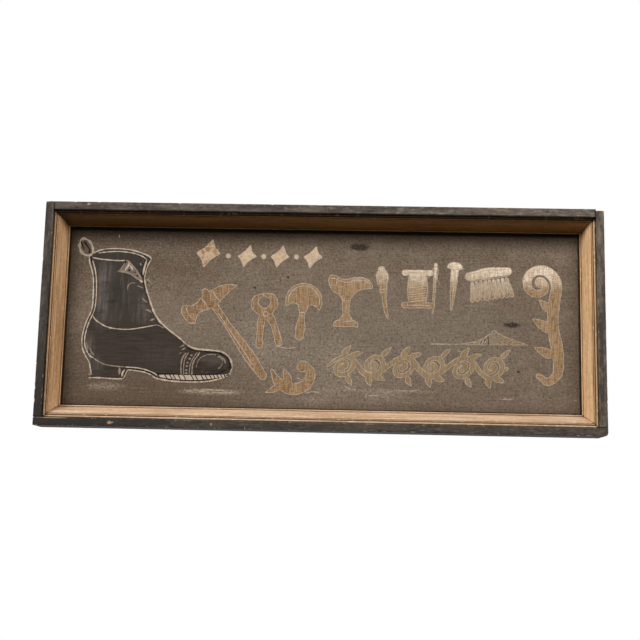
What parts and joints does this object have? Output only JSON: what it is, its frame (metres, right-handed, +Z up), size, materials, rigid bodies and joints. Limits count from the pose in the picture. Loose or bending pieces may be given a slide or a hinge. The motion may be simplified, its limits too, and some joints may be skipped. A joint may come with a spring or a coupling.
{
  "type": "shoe repair sign",
  "caption": "Deep-framed painted wooden trade sign for a shoe repairer, with a mitred moulding, a battened board panel and two hinged hanging rings on its back.",
  "frame": {"origin": "on the wall plane, midway between the two hanging rings, at the height of their hinge line", "axes": "+X to the right as seen from the front, +Y towards the wall, +Z up; the front faces -Y"},
  "size_m": [1.422, 0.089, 0.572],
  "materials": {
    "black_paint": "worn black oil paint on pine boards, rubbed thin along the edges",
    "moulding_gilt": "aged tan gilding on a wooden moulding, satin",
    "panel_paint": "grey-brown sanded paint, matt and gritty",
    "bare_wood": "bare weathered pine",
    "hanger_iron": "dark wrought iron with light rust",
    "fastener_steel": "dull steel with light rust"
  },
  "bodies": {
    "sign": {"batten_centre": "bare_wood", "batten_left": "bare_wood", "batten_right": "bare_wood", "brad_bottom_left": "fastener_steel", "brad_bottom_right": "fastener_steel", "brad_left_lower": "fastener_steel", "brad_left_upper": "fastener_steel", "brad_right_lower": "fastener_steel", "brad_right_upper": "fastener_steel", "brad_top_left": "fastener_steel", "brad_top_right": "fastener_steel", "frame_bottom_rail": "black_paint", "frame_left_stile": "black_paint", "frame_right_stile": "black_paint", "frame_top_rail": "black_paint", "hanger_screw_left_lower": "fastener_steel", "hanger_screw_left_upper": "fastener_steel", "hanger_screw_right_lower": "fastener_steel", "hanger_screw_right_upper": "fastener_steel", "hanger_strap_left": "hanger_iron", "hanger_strap_right": "hanger_iron", "moulding_bottom": "moulding_gilt", "moulding_left": "moulding_gilt", "moulding_right": "moulding_gilt", "moulding_top": "moulding_gilt", "nail_batten_centre_bottom": "fastener_steel", "nail_batten_centre_top": "fastener_steel", "nail_batten_left_bottom": "fastener_steel", "nail_batten_left_top": "fastener_steel", "nail_batten_right_bottom": "fastener_steel", "nail_batten_right_top": "fastener_steel", "nail_bottom_left_back": "fastener_steel", "nail_bottom_left_front": "fastener_steel", "nail_bottom_right_back": "fastener_steel", "nail_bottom_right_front": "fastener_steel", "nail_top_left_back": "fastener_steel", "nail_top_left_front": "fastener_steel", "nail_top_right_back": "fastener_steel", "nail_top_right_front": "fastener_steel", "panel_board_lower": "panel_paint", "panel_board_middle": "panel_paint", "panel_board_upper": "panel_paint", "screw_batten_centre_lower_board_middle": "fastener_steel", "screw_batten_centre_middle_board_middle": "fastener_steel", "screw_batten_centre_upper_board_middle": "fastener_steel", "screw_batten_left_lower_board_lower": "fastener_steel", "screw_batten_left_lower_board_upper": "fastener_steel", "screw_batten_left_middle_board_lower": "fastener_steel", "screw_batten_left_middle_board_upper": "fastener_steel", "screw_batten_left_upper_board_lower": "fastener_steel", "screw_batten_left_upper_board_upper": "fastener_steel", "screw_batten_right_lower_board_lower": "fastener_steel", "screw_batten_right_lower_board_upper": "fastener_steel", "screw_batten_right_middle_board_lower": "fastener_steel", "screw_batten_right_middle_board_upper": "fastener_steel", "screw_batten_right_upper_board_lower": "fastener_steel", "screw_batten_right_upper_board_upper": "fastener_steel"},
    "ring_left": {"hanger_ring_left": "hanger_iron"},
    "ring_right": {"hanger_ring_right": "hanger_iron"}
  },
  "joints": [
    {"name": "ring_left_swing", "type": "hinge", "parent": "sign", "child": "ring_left", "pos_m": [-0.5, -0.0056, 0], "axis": [1, 0, 0], "range_deg": [0, 180]},
    {"name": "ring_right_swing", "type": "hinge", "parent": "sign", "child": "ring_right", "pos_m": [0.5, -0.0056, 0], "axis": [1, 0, 0], "range_deg": [0, 180]}
  ]
}
